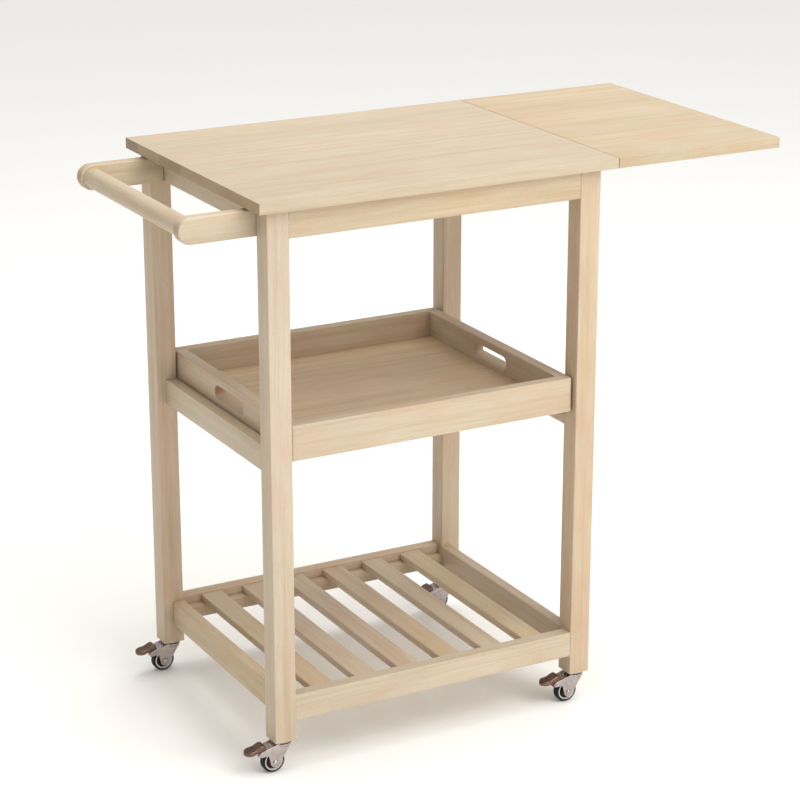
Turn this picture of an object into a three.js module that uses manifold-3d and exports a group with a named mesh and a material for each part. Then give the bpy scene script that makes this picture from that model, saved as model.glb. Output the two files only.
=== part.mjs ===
// Kitchen island cart: a solid wood frame on four locking casters, with a
// fixed worktop, a drop leaf on two locking hinge brackets, a towel bar,
// a pull-out tray and a slatted lower shelf. Millimetres, +Z up.
// X runs from the towel bar (-) to the drop leaf (+), the front faces -Y,
// and the origin lies on the floor under the middle of the whole outline.
import * as THREE from 'three';
import * as BufferGeometryUtils from 'three/addons/utils/BufferGeometryUtils.js';
import Module from 'manifold-3d';

const wasm = await Module();
wasm.setup();

// Driving dimensions
const totalHeight = 863;
const bodyWidth = 538; // over the legs, along X
const bodyDepth = 438; // over the legs, along Y
const legSize = 34;
const casterHeight = 50;
const topThickness = 16;
const topOverhang = { left: 17, right: 21, front: 14 };
const seamGap = 1;
const leafLength = 286;
const handleReach = 116; // from the left legs to the end of the arms
const longRail = { thickness: 20, recess: 1 }; // front and back boards
const sideRail = { thickness: 18 }; // their inner faces are flush with the legs
const apronHeight = 42;
const lowerRail = { bottom: 80.5, height: 40 };
const trayRail = { bottom: 450, height: 40 };
const trayCleat = { width: 12, height: 12 };
const tray = { bottom: 478, height: 53, board: 18, sideGap: 3, recess: 8, floorRise: 6, floor: 6 };
const trayRunClearance = 0.5;
const fingerSlot = { length: 100, height: 22, centreRise: 30 };
const slat = { count: 6, width: 36, thickness: 12, recess: 3 };
const slatCleat = { width: 15, height: 20 };
const handleArm = { height: 38, thickness: 18, drop: 4 };
const towelBarDiameter = 30;
const caster = {
  wheelDiameter: 36, wheelWidth: 14, trail: 15, plateDiameter: 32, plateThickness: 3,
  stemDiameter: 11, stemLength: 34, axleDiameter: 5, axleHead: { diameter: 9, height: 2 },
};
const tyre = { round: 3, rimDepth: 6, hubRadius: 6, webHalf: 3 };
const fork = {
  crown: 3, crownFront: 13, crownBack: -27, race: 24, cheekThickness: 2, cheekSpan: 19,
  shoulder: -9, frontDrop: 9, boss: 7.5, throat: -25, horn: { x: -36.5, z: 34.5, radius: 4 },
};
const pedal = { barrel: 6, sheet: 2.5, archRise: 13, archReach: 6, treadRise: 7, treadReach: 23.5 };
const bracket = {
  inset: 90, width: 24, plate: 3, knuckle: 4, knuckleSpan: 10, arm: 118,
  plateBack: -34, catchBack: -13, catchFront: -5.5, armStart: 5, webStart: 24, webDepth: 12,
};
const lever = { width: 8, depth: 3, nose: 11, bend: 78, tip: 92, tipDrop: 5, pivotX: 40, pivotRadius: 3.5 };
const fit = 0.3; // running gap between pieces that turn or slide on each other

// Places that follow from them
const overallLength = handleReach + bodyWidth + topOverhang.right + seamGap + leafLength;
const leftFace = handleReach - overallLength / 2; // outer face of the left legs
const rightFace = leftFace + bodyWidth;
const frontFace = -bodyDepth / 2;
const backFace = bodyDepth / 2;
const topUnderside = totalHeight - topThickness;
const apronBottom = topUnderside - apronHeight;
const innerLeft = leftFace + legSize;
const innerRight = rightFace - legSize;
const innerFront = frontFace + legSize;
const innerBack = backFace - legSize;
const trayLeft = innerLeft + tray.sideGap;
const trayRight = innerRight - tray.sideGap;
const trayFront = frontFace + tray.recess;
const trayBack = backFace - tray.recess;

const paleWood = { color: 0xe2cdb0, roughness: 0.45, metalness: 0 };
const shadedWood = { color: 0xd2b896, roughness: 0.5, metalness: 0 };
const brightSteel = { color: 0xc9c9c9, roughness: 0.25, metalness: 1 };
const bronzedSteel = { color: 0x7a6450, roughness: 0.35, metalness: 1 };
const darkRubber = { color: 0x2b2b2d, roughness: 0.7, metalness: 0 };

const cart = new THREE.Group();

function addPiece(name, geometry, finish, parent = cart) {
  const mesh = new THREE.Mesh(geometry, new THREE.MeshStandardMaterial(finish));
  mesh.name = name;
  parent.add(mesh);
  return mesh;
}

// A board between two opposite corners
function boardGeometry(low, high) {
  const size = high.map((value, axis) => value - low[axis]);
  const geometry = new THREE.BoxGeometry(...size);
  geometry.translate(...low.map((value, axis) => value + size[axis] / 2));
  return geometry;
}

function addBoard(name, low, high, finish = paleWood) {
  return addPiece(name, boardGeometry(low, high), finish);
}

// A rod along X, Y or Z, centred on a point
function rodGeometry(diameter, length, axis, centre, segments = 20) {
  const geometry = new THREE.CylinderGeometry(diameter / 2, diameter / 2, length, segments);
  if (axis === 'x') geometry.rotateZ(Math.PI / 2);
  if (axis === 'z') geometry.rotateX(Math.PI / 2);
  geometry.translate(...centre);
  return geometry;
}

// An outline drawn in X and Z, as a plate of a given thickness along Y
function plateGeometry(shape, nearY, thickness, curveSegments = 8) {
  const options = { depth: thickness, bevelEnabled: false, curveSegments };
  const geometry = new THREE.ExtrudeGeometry(shape, options);
  geometry.rotateX(Math.PI / 2);
  geometry.translate(0, nearY + thickness, 0);
  return geometry;
}

function toSolid(geometry) {
  const bare = geometry.clone();
  bare.deleteAttribute('normal');
  bare.deleteAttribute('uv');
  const merged = BufferGeometryUtils.mergeVertices(bare, 1e-4);
  return new wasm.Manifold(new wasm.Mesh({
    numProp: 3,
    vertProperties: new Float32Array(merged.attributes.position.array),
    triVerts: new Uint32Array(merged.index.array),
  }));
}

function toGeometry(solid) {
  const mesh = solid.getMesh();
  const geometry = new THREE.BufferGeometry();
  geometry.setAttribute('position', new THREE.BufferAttribute(mesh.vertProperties, mesh.numProp));
  geometry.setIndex(new THREE.BufferAttribute(mesh.triVerts, 1));
  geometry.computeVertexNormals();
  return geometry;
}

function join(first, ...others) {
  return toGeometry(others.reduce((sum, next) => sum.add(toSolid(next)), toSolid(first)));
}

function cut(body, ...tools) {
  return toGeometry(tools.reduce((rest, tool) => rest.subtract(toSolid(tool)), toSolid(body)));
}

// Worktop and drop leaf
function buildTop() {
  const front = frontFace - topOverhang.front;
  const back = backFace + topOverhang.front;
  const seam = rightFace + topOverhang.right;
  addBoard('worktop', [leftFace - topOverhang.left, front, topUnderside], [seam, back, totalHeight]);
  const leafStart = seam + seamGap;
  addBoard('drop_leaf', [leafStart, front, topUnderside], [leafStart + leafLength, back, totalHeight]);
}

// Each leg has a blind hole in its foot for the caster's stem
function legCorners() {
  return [
    { name: 'front_left', x: leftFace, y: frontFace },
    { name: 'front_right', x: innerRight, y: frontFace },
    { name: 'back_left', x: leftFace, y: innerBack },
    { name: 'back_right', x: innerRight, y: innerBack },
  ];
}

function buildLegs() {
  const holeDepth = caster.stemLength + 4;
  for (const { name, x, y } of legCorners()) {
    const body = boardGeometry([x, y, casterHeight], [x + legSize, y + legSize, topUnderside]);
    const centre = [x + legSize / 2, y + legSize / 2, casterHeight + holeDepth / 2 - 1];
    const hole = rodGeometry(caster.stemDiameter + 2 * fit, holeDepth + 2, 'z', centre);
    addPiece(`${name}_leg`, cut(body, hole), paleWood);
  }
}

// A front and a back board between the legs, set back a little from their faces
function addLongPair(name, bottom, top) {
  const { thickness, recess } = longRail;
  const front = frontFace + recess;
  const back = backFace - recess;
  addBoard(`front_${name}`, [innerLeft, front, bottom], [innerRight, front + thickness, top]);
  addBoard(`back_${name}`, [innerLeft, back - thickness, bottom], [innerRight, back, top]);
}

// A left and a right board between the legs, flush with their inner faces
function addSidePair(name, bottom, top) {
  const { thickness } = sideRail;
  addBoard(`left_${name}`, [innerLeft - thickness, innerFront, bottom], [innerLeft, innerBack, top]);
  addBoard(`right_${name}`, [innerRight, innerFront, bottom], [innerRight + thickness, innerBack, top]);
}

function buildFrame() {
  addLongPair('apron', apronBottom, topUnderside);
  addSidePair('apron', apronBottom, topUnderside);
  addSidePair('tray_rail', trayRail.bottom, trayRail.bottom + trayRail.height);
  addLongPair('lower_rail', lowerRail.bottom, lowerRail.bottom + lowerRail.height);
  addSidePair('lower_rail', lowerRail.bottom, lowerRail.bottom + lowerRail.height);
  const runTop = tray.bottom - trayRunClearance;
  const runBottom = runTop - trayCleat.height;
  const runLeft = innerLeft + trayCleat.width;
  const runRight = innerRight - trayCleat.width;
  addBoard('left_tray_cleat', [innerLeft, innerFront, runBottom], [runLeft, innerBack, runTop], shadedWood);
  addBoard('right_tray_cleat', [runRight, innerFront, runBottom], [innerRight, innerBack, runTop], shadedWood);
}

// Slats from front to back, resting on a cleat along each long rail
function buildShelf() {
  const nearRail = frontFace + longRail.recess + longRail.thickness;
  const farRail = -nearRail;
  const slatTop = lowerRail.bottom + lowerRail.height - slat.recess;
  const slatBottom = slatTop - slat.thickness;
  const low = slatBottom - slatCleat.height;
  addBoard('front_slat_cleat', [innerLeft, nearRail, low],
    [innerRight, nearRail + slatCleat.width, slatBottom], shadedWood);
  addBoard('back_slat_cleat', [innerLeft, farRail - slatCleat.width, low],
    [innerRight, farRail, slatBottom], shadedWood);
  const gap = (innerRight - innerLeft - slat.count * slat.width) / (slat.count + 1);
  for (let i = 0; i < slat.count; i += 1) {
    const x = innerLeft + gap + i * (slat.width + gap);
    addBoard(`shelf_slat_${i + 1}`, [x, nearRail, slatBottom], [x + slat.width, farRail, slatTop]);
  }
}

// An end board of the tray with its round-ended finger slot
function trayEndGeometry(x) {
  const low = [x, trayFront + tray.board, tray.bottom];
  const high = [x + tray.board, trayBack - tray.board, tray.bottom + tray.height];
  const reach = tray.board + 4;
  const middle = x + tray.board / 2;
  const z = tray.bottom + fingerSlot.centreRise;
  const half = (fingerSlot.length - fingerSlot.height) / 2;
  const window = boardGeometry([middle - reach / 2, -half, z - fingerSlot.height / 2],
    [middle + reach / 2, half, z + fingerSlot.height / 2]);
  const ends = [-half, half].map((y) => rodGeometry(fingerSlot.height, reach, 'x', [middle, y, z], 28));
  return cut(boardGeometry(low, high), window, ...ends);
}

function buildTray() {
  const top = tray.bottom + tray.height;
  const { board } = tray;
  addBoard('tray_front', [trayLeft, trayFront, tray.bottom], [trayRight, trayFront + board, top]);
  addBoard('tray_back', [trayLeft, trayBack - board, tray.bottom], [trayRight, trayBack, top]);
  addPiece('tray_left_end', trayEndGeometry(trayLeft), paleWood);
  addPiece('tray_right_end', trayEndGeometry(trayRight - board), paleWood);
  const floorBottom = tray.bottom + tray.floorRise;
  addBoard('tray_floor', [trayLeft + board, trayFront + board, floorBottom],
    [trayRight - board, trayBack - board, floorBottom + tray.floor], shadedWood);
}

// Two arms with round outer ends beside the left legs, and a bar between them
function buildHandle() {
  const radius = handleArm.height / 2;
  const endX = leftFace - handleReach + radius;
  const rootX = innerLeft - sideRail.thickness;
  const topZ = topUnderside - handleArm.drop;
  const axisZ = topZ - radius;
  const outline = new THREE.Shape();
  outline.moveTo(rootX, topZ);
  outline.lineTo(endX, topZ);
  outline.absarc(endX, axisZ, radius, Math.PI / 2, 1.5 * Math.PI, false);
  outline.lineTo(rootX, topZ - handleArm.height);
  outline.closePath();
  const { thickness } = handleArm;
  addPiece('front_handle_arm', plateGeometry(outline, innerFront, thickness, 20), paleWood);
  addPiece('back_handle_arm', plateGeometry(outline, innerBack - thickness, thickness, 20), paleWood);
  const span = innerBack - innerFront - 2 * thickness;
  addPiece('towel_bar', rodGeometry(towelBarDiameter, span, 'y', [endX, 0, axisZ], 40), paleWood);
}

// Casters, drawn about the swivel axis with the wheel trailing to -X
const wheelRadius = caster.wheelDiameter / 2;
const crownTop = casterHeight - caster.plateThickness - fit;

function casterPlateGeometry() {
  const overlap = 1;
  const stemMiddle = casterHeight + (caster.stemLength - overlap) / 2;
  const plate = rodGeometry(caster.plateDiameter, caster.plateThickness, 'z',
    [0, 0, casterHeight - caster.plateThickness / 2]);
  const stem = rodGeometry(caster.stemDiameter, caster.stemLength + overlap, 'z', [0, 0, stemMiddle]);
  return join(plate, stem);
}

// Side cheek of the fork: a shoulder under the leg, a horn that carries the
// pedal's pivot behind the wheel, and a boss round the axle
function cheekShape() {
  const { shoulder, crownFront, frontDrop, boss, throat, horn } = fork;
  const shape = new THREE.Shape();
  shape.moveTo(crownFront, crownTop);
  shape.lineTo(shoulder, crownTop);
  shape.absarc(horn.x, horn.z, horn.radius, Math.PI / 2, 1.5 * Math.PI, false);
  shape.lineTo(throat, horn.z - horn.radius);
  shape.absarc(-caster.trail, wheelRadius, boss, Math.PI, 2 * Math.PI, false);
  shape.lineTo(crownFront, crownTop - frontDrop);
  shape.closePath();
  return shape;
}

function forkGeometry() {
  const { cheekThickness, cheekSpan, crown, crownFront, crownBack, race } = fork;
  const near = -cheekSpan / 2 - cheekThickness;
  const inner = -cheekSpan / 2;
  const crownPlate = boardGeometry([crownBack, inner, crownTop - crown], [crownFront, -inner, crownTop]);
  const shoulders = boardGeometry([fork.shoulder, near, crownTop - crown], [crownFront, -near, crownTop]);
  const cheeks = [near, -inner].map((y) => plateGeometry(cheekShape(), y, cheekThickness));
  const collar = rodGeometry(race, crown, 'z', [0, 0, crownTop - crown / 2]);
  const body = join(crownPlate, shoulders, ...cheeks, collar);
  const reach = 2 * (cheekSpan + cheekThickness);
  const axleHole = rodGeometry(caster.axleDiameter + 2 * fit, reach, 'y', [-caster.trail, 0, wheelRadius]);
  return cut(body, axleHole);
}

// Hub, web, rim and a tyre with rounded shoulders, turned about the axle
function wheelGeometry() {
  const { round, rimDepth, hubRadius, webHalf } = tyre;
  const face = caster.wheelWidth / 2;
  const side = face - 1;
  const bore = caster.axleDiameter / 2 + fit;
  const rim = wheelRadius - rimDepth;
  const profile = [[bore, -face], [hubRadius, -face], [hubRadius + 1, -webHalf], [rim - 1, -webHalf],
    [rim, -side], [wheelRadius - round, -side]];
  for (let i = 1; i <= 2; i += 1) {
    const angle = (i / 2) * (Math.PI / 2);
    profile.push([wheelRadius - round * (1 - Math.sin(angle)), -side + round * (1 - Math.cos(angle))]);
  }
  const mirrored = profile.map(([radius, y]) => [radius, -y]).reverse();
  const points = [...profile, ...mirrored, profile[0]].map(([radius, y]) => new THREE.Vector2(radius, y));
  const geometry = new THREE.LatheGeometry(points, 24);
  geometry.translate(-caster.trail, 0, wheelRadius);
  return geometry;
}

function axleGeometry() {
  const { axleDiameter, axleHead, trail } = caster;
  const outer = fork.cheekSpan / 2 + fork.cheekThickness + fit;
  const pin = rodGeometry(axleDiameter, 2 * outer + 1, 'y', [-trail, 0, wheelRadius]);
  const heads = [-1, 1].map((side) => {
    const middle = side * (outer + axleHead.height / 2);
    return rodGeometry(axleHead.diameter, axleHead.height, 'y', [-trail, middle, wheelRadius]);
  });
  return join(pin, ...heads);
}

// Brake pedal on the fork's horns: an arched cover with a tread behind it, and
// below the pivot a shoe that swings towards the tyre but stops short of it
function pedalGeometry() {
  const halfWidth = fork.cheekSpan / 2 - fit;
  const { x, z } = fork.horn;
  const { barrel, sheet, archRise, archReach, treadRise, treadReach } = pedal;
  const arm = sheet / 2;
  const cover = new THREE.Shape();
  cover.moveTo(x + archReach, z + archRise);
  cover.quadraticCurveTo(x - archReach, z + archRise, x - archReach - sheet, z + treadRise + arm);
  cover.lineTo(x - treadReach, z + treadRise);
  cover.lineTo(x - treadReach, z + treadRise - sheet);
  cover.lineTo(x - archReach - sheet, z + treadRise - arm);
  cover.quadraticCurveTo(x - archReach, z + archRise - sheet, x - arm, z + archRise - sheet);
  cover.lineTo(x - arm, z);
  cover.lineTo(x + arm, z);
  cover.lineTo(x + arm, z + archRise - sheet);
  cover.lineTo(x + archReach + 1, z + archRise - sheet);
  cover.closePath();
  const shoe = new THREE.Shape();
  shoe.moveTo(x - arm, z);
  shoe.lineTo(x + arm, z - 2 * barrel / 2 - arm);
  shoe.lineTo(x + 2 * sheet, z - barrel);
  shoe.lineTo(x + sheet, z);
  shoe.closePath();
  const axis = rodGeometry(barrel, 2 * halfWidth, 'y', [x, 0, z]);
  const plates = [cover, shoe].map((shape) => plateGeometry(shape, -halfWidth, 2 * halfWidth, 4));
  return join(axis, ...plates);
}

function buildCasters() {
  for (const { name, x, y } of legCorners()) {
    const swivel = new THREE.Group();
    swivel.position.set(x + legSize / 2, y + legSize / 2, 0);
    cart.add(swivel);
    addPiece(`${name}_caster_plate`, casterPlateGeometry(), brightSteel, swivel);
    addPiece(`${name}_caster_fork`, forkGeometry(), brightSteel, swivel);
    addPiece(`${name}_caster_wheel`, wheelGeometry(), darkRubber, swivel);
    addPiece(`${name}_caster_axle`, axleGeometry(), brightSteel, swivel);
    addPiece(`${name}_brake_pedal`, pedalGeometry(), bronzedSteel, swivel);
  }
}

// Locking drop-leaf brackets, drawn about the pivot under the seam
function hingePlateGeometry() {
  const { width, plate, knuckle, knuckleSpan, plateBack, catchBack, catchFront, armStart } = bracket;
  const half = knuckleSpan / 2;
  const flat = boardGeometry([plateBack, -width / 2, knuckle - plate], [-armStart, width / 2, knuckle]);
  const neck = boardGeometry([-armStart - 1, -half, knuckle - plate], [0, half, knuckle]);
  const barrel = rodGeometry(2 * knuckle, knuckleSpan, 'y', [0, 0, 0]);
  const catchBlock = boardGeometry([catchBack, -half, -1.5 * knuckle], [catchFront, half, knuckle - 1]);
  return join(flat, neck, barrel, catchBlock);
}

// A flat plate under the leaf with two ears at the pivot and two stiffening webs
function hingeArmGeometry() {
  const { width, plate, knuckle, knuckleSpan, arm, armStart, webStart, webDepth } = bracket;
  const inner = knuckleSpan / 2 + fit;
  const webHalf = plate / 4;
  const flat = boardGeometry([armStart, -width / 2, knuckle - plate], [arm, width / 2, knuckle]);
  const parts = [-1, 1].flatMap((side) => {
    const [near, far] = [side * inner, side * (width / 2)].sort((a, b) => a - b);
    const ear = boardGeometry([0, near, knuckle - plate], [armStart + 1, far, knuckle]);
    const barrel = rodGeometry(2 * knuckle, far - near, 'y', [0, (near + far) / 2, 0]);
    const middle = side * (width / 2 - webHalf);
    const web = boardGeometry([webStart, middle - webHalf, knuckle - webDepth],
      [arm - 10, middle + webHalf, knuckle - 1]);
    return [ear, barrel, web];
  });
  return join(flat, ...parts);
}

// Release lever between the arm's two webs; its tip bends down to a finger tab
function lockLeverGeometry() {
  const { width, depth, nose, bend, tip, tipDrop, pivotX, pivotRadius } = lever;
  const top = -depth;
  const pivotZ = top - depth + 0.5;
  const outline = new THREE.Shape();
  outline.moveTo(nose, top);
  outline.lineTo(bend, top);
  outline.lineTo(tip, top - tipDrop);
  outline.lineTo(tip - 1.5, top - tipDrop - 2.5);
  outline.lineTo(bend - 2, top - 2.5);
  outline.lineTo(pivotX + pivotRadius, pivotZ);
  outline.absarc(pivotX, pivotZ, pivotRadius, 0, Math.PI, true);
  outline.lineTo(nose, top - depth);
  outline.closePath();
  return plateGeometry(outline, -width / 2, width);
}

function buildLeafBrackets() {
  const pivotX = rightFace + topOverhang.right + seamGap / 2;
  const pivotZ = topUnderside - bracket.knuckle;
  const places = { front: frontFace + bracket.inset, back: backFace - bracket.inset };
  for (const [name, y] of Object.entries(places)) {
    const pivot = new THREE.Group();
    pivot.position.set(pivotX, y, pivotZ);
    cart.add(pivot);
    addPiece(`${name}_hinge_plate`, hingePlateGeometry(), brightSteel, pivot);
    addPiece(`${name}_hinge_arm`, hingeArmGeometry(), brightSteel, pivot);
    addPiece(`${name}_lock_lever`, lockLeverGeometry(), bronzedSteel, pivot);
  }
}

buildTop();
buildLegs();
buildFrame();
buildShelf();
buildTray();
buildHandle();
buildCasters();
buildLeafBrackets();

export default cart;
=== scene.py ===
import math

import bmesh
import bpy
from mathutils import Euler, Matrix, Vector


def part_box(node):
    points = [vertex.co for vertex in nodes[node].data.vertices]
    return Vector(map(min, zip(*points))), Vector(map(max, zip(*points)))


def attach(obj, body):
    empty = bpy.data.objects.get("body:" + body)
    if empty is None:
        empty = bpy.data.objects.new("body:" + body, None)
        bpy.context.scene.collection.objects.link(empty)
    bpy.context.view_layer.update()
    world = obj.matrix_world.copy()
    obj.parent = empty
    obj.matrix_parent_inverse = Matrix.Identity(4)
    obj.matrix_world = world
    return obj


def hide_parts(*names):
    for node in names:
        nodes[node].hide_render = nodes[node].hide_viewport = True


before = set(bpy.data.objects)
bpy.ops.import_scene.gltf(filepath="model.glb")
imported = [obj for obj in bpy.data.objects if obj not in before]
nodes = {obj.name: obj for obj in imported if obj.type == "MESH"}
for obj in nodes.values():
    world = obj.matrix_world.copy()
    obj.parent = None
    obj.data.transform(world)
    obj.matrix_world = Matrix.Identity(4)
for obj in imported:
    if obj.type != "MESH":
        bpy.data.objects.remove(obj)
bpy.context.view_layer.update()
scene = bpy.context.scene
mm = 0.001
corners = ("front_left", "front_right", "back_left", "back_right")
print("frame loaded:", len(nodes), "nodes")

# Small helpers for node trees

mixFactor, mixA, mixB, mixOut = 0, 6, 7, 2  # sockets of a Mix node set to colour


def colour(hexCode):
    channels = [int(hexCode[i:i + 2], 16) / 255 for i in (1, 3, 5)]
    return tuple(c / 12.92 if c <= 0.04045 else ((c + 0.055) / 1.055) ** 2.4 for c in channels) + (1.0,)


def addNode(tree, kind, values=None, links=None, stops=(), **settings):
    node = tree.nodes.new(kind)
    for name, value in settings.items():
        setattr(node, name, value)
    for socket, value in (values or {}).items():
        node.inputs[socket].default_value = value
    for socket, source in (links or {}).items():
        tree.links.new(source, node.inputs[socket])
    for i, (position, value) in enumerate(stops):
        if i > 1:
            node.color_ramp.elements.new(0.99)
        node.color_ramp.elements[i].position = position
        node.color_ramp.elements[i].color = (value, value, value, 1.0)
    return node


def startMaterial(name):
    material = bpy.data.materials.new(name)
    material.use_nodes = True
    tree = material.node_tree
    tree.nodes.clear()
    shader = addNode(tree, "ShaderNodeBsdfPrincipled")
    addNode(tree, "ShaderNodeOutputMaterial", links={"Surface": shader.outputs["BSDF"]})
    return material, tree, shader


# Small helpers for meshes; all sizes in millimetres

def arc(centre, radius, start, end, steps=12):
    angles = [math.radians(start + (end - start) * i / steps) for i in range(steps + 1)]
    return [(centre[0] + radius * math.cos(a), centre[1] + radius * math.sin(a)) for a in angles]


def finishMesh(bm, name, smoothAngle=35):
    bmesh.ops.remove_doubles(bm, verts=bm.verts, dist=0.00001)
    bmesh.ops.recalc_face_normals(bm, faces=bm.faces)
    mesh = bpy.data.meshes.new(name)
    bm.to_mesh(mesh)
    bm.free()
    mesh.polygons.foreach_set("use_smooth", [True] * len(mesh.polygons))
    mesh.set_sharp_from_angle(angle=math.radians(smoothAngle))
    return mesh


def easeEdges(bm, chosen, radius, segments=3):
    edges = [edge for edge in bm.edges if chosen(edge)]
    bmesh.ops.bevel(bm, geom=edges, offset=radius * mm, segments=segments, profile=0.5, affect="EDGES",
                    clamp_overlap=True)


# A plate cut to an outline, with holes as further outlines, drawn in the plane of two axes
def plateMesh(outlines, thickness, ease, plane="xz", segments=3):
    curve = bpy.data.curves.new("outline", "CURVE")
    curve.dimensions = "2D"
    curve.fill_mode = "BOTH"
    curve.extrude = thickness / 2 * mm
    for points in outlines:
        spline = curve.splines.new("POLY")
        spline.points.add(len(points) - 1)
        for point, (x, y) in zip(spline.points, points):
            point.co = (x * mm, y * mm, 0, 1)
        spline.use_cyclic_u = True
    holder = bpy.data.objects.new("outline", curve)
    scene.collection.objects.link(holder)
    flat = bpy.data.meshes.new_from_object(holder.evaluated_get(bpy.context.evaluated_depsgraph_get()))
    bpy.data.objects.remove(holder)
    bm = bmesh.new()
    bm.from_mesh(flat)
    bmesh.ops.remove_doubles(bm, verts=bm.verts, dist=0.00001)
    bmesh.ops.dissolve_limit(bm, angle_limit=0.001, verts=bm.verts, edges=bm.edges)
    if ease:
        easeEdges(bm, lambda edge: edge.is_manifold and edge.calc_face_angle() > 0.7, ease, segments)
    turns = {"xz": Matrix.Rotation(math.pi / 2, 4, "X"), "xy": Matrix.Identity(4),
             "yz": Matrix(((0, 0, 1, 0), (1, 0, 0, 0), (0, 1, 0, 0), (0, 0, 0, 1)))}
    bm.transform(turns[plane])
    return finishMesh(bm, "plate")


# A form turned about an axis from pairs of radius and height; a closed one is a ring
def turnedMesh(profile, axis="z", closed=False, steps=48):
    bm = bmesh.new()
    rings = []
    for radius, height in profile:
        count = steps if radius > 0 else 1
        ring = []
        for i in range(count):
            angle = 2 * math.pi * i / steps
            x, y = radius * math.cos(angle), radius * math.sin(angle)
            ring.append(bm.verts.new((x * mm, y * mm, height * mm)))
        rings.append(ring)
    pairs = list(zip(rings, rings[1:]))
    if closed:
        pairs.append((rings[-1], rings[0]))
    for low, high in pairs:
        for i in range(steps):
            j = (i + 1) % steps
            quad = [low[i % len(low)], low[j % len(low)], high[j % len(high)], high[i % len(high)]]
            corner = list(dict.fromkeys(quad))
            if len(corner) > 2:
                bm.faces.new(corner)
    if axis == "y":
        bm.transform(Matrix.Rotation(-math.pi / 2, 4, "X"))
    return finishMesh(bm, "turned")


def boxMesh(low, high, ease=0.0, segments=2):
    bm = bmesh.new()
    bmesh.ops.create_cube(bm, size=1)
    size = [(b - a) * mm for a, b in zip(low, high)]
    middle = [(a + b) / 2 * mm for a, b in zip(low, high)]
    bm.transform(Matrix.Translation(middle) @ Matrix.Diagonal((*size, 1)))
    if ease:
        easeEdges(bm, lambda edge: True, ease, segments)
    return finishMesh(bm, "block")


def moved(mesh, x=0.0, y=0.0, z=0.0):
    copy = mesh.copy()
    copy.transform(Matrix.Translation((x * mm, y * mm, z * mm)))
    return copy


# Joins overlapping closed meshes into one skin, or cuts the others out of the first
def combine(operation, first, *others):
    holders = []
    for mesh in (first, *others):
        holder = bpy.data.objects.new("part", mesh)
        scene.collection.objects.link(holder)
        holders.append(holder)
    for other in holders[1:]:
        step = holders[0].modifiers.new("step", "BOOLEAN")
        step.operation = operation
        step.solver = "EXACT"
        step.object = other
    result = bpy.data.meshes.new_from_object(
        holders[0].evaluated_get(bpy.context.evaluated_depsgraph_get()))
    for holder in holders:
        bpy.data.objects.remove(holder)
    bm = bmesh.new()
    bm.from_mesh(result)
    return finishMesh(bm, "combined", 30)


def addPiece(name, mesh, material, body, replaced=()):
    piece = bpy.data.objects.new(name, mesh)
    mesh.name = name
    mesh.materials.clear()
    mesh.materials.append(material)
    scene.collection.objects.link(piece)
    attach(piece, body)
    if replaced:
        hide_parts(*replaced)


# Camera

cameraPlace = {"at": (-1.7727, -3.1902, 1.6837), "down": 18.6, "right": 28.5, "lens": 112.4}
camera = bpy.data.objects.new("camera", bpy.data.cameras.new("camera"))
camera.data.lens = cameraPlace["lens"]
camera.location = cameraPlace["at"]
camera.rotation_euler = (math.radians(90 - cameraPlace["down"]), 0, -math.radians(cameraPlace["right"]))
scene.collection.objects.link(camera)
scene.camera = camera

# Wood

rubberwood = {
    "earlyWood": "#C3B39B",
    "lateWood": "#B49C78",
    "streak": "#A88C68",
    "blush": "#BFA186",      # pinkish clouds
    "pore": "#886C50",
    "endGrain": "#A58A68",
    "darkEnd": "#7D6144",     # end grain of the darker staves
    "ringSpacing": 6.5,      # between growth rings
    "ringContrast": 0.24,
    "wander": 16.0,          # how far the rings stray from a true circle
    "patterns": {            # length along the grain, width across it, detail
        "stray": (300, 34, 3.0),
        "streak": (500, 11, 4.0),
        "blush": (95, 30, 3.0),
        "fibre": (45, 1.3, 3.0),  # real fibres are ten times finer, drawn coarse so that they show
        "pore": (7, 0.5, 1.0),    # wider than real pores, for the same reason
        "cloud": (260, 80, 2.0),
    },
    "hueSpread": 0.005,      # boards from different trees differ a little in hue and strength
    "saturationSpread": 0.09,
    "roughness": 0.5,
    "ior": 1.5,
    "specular": 0.4,
    "coat": 0.12,            # clear satin lacquer
    "coatRoughness": 0.35,
}
grainTurns = {"x": (0, 0, 0), "y": (0, 0, -math.pi / 2), "z": (0, math.pi / 2, 0)}


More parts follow.
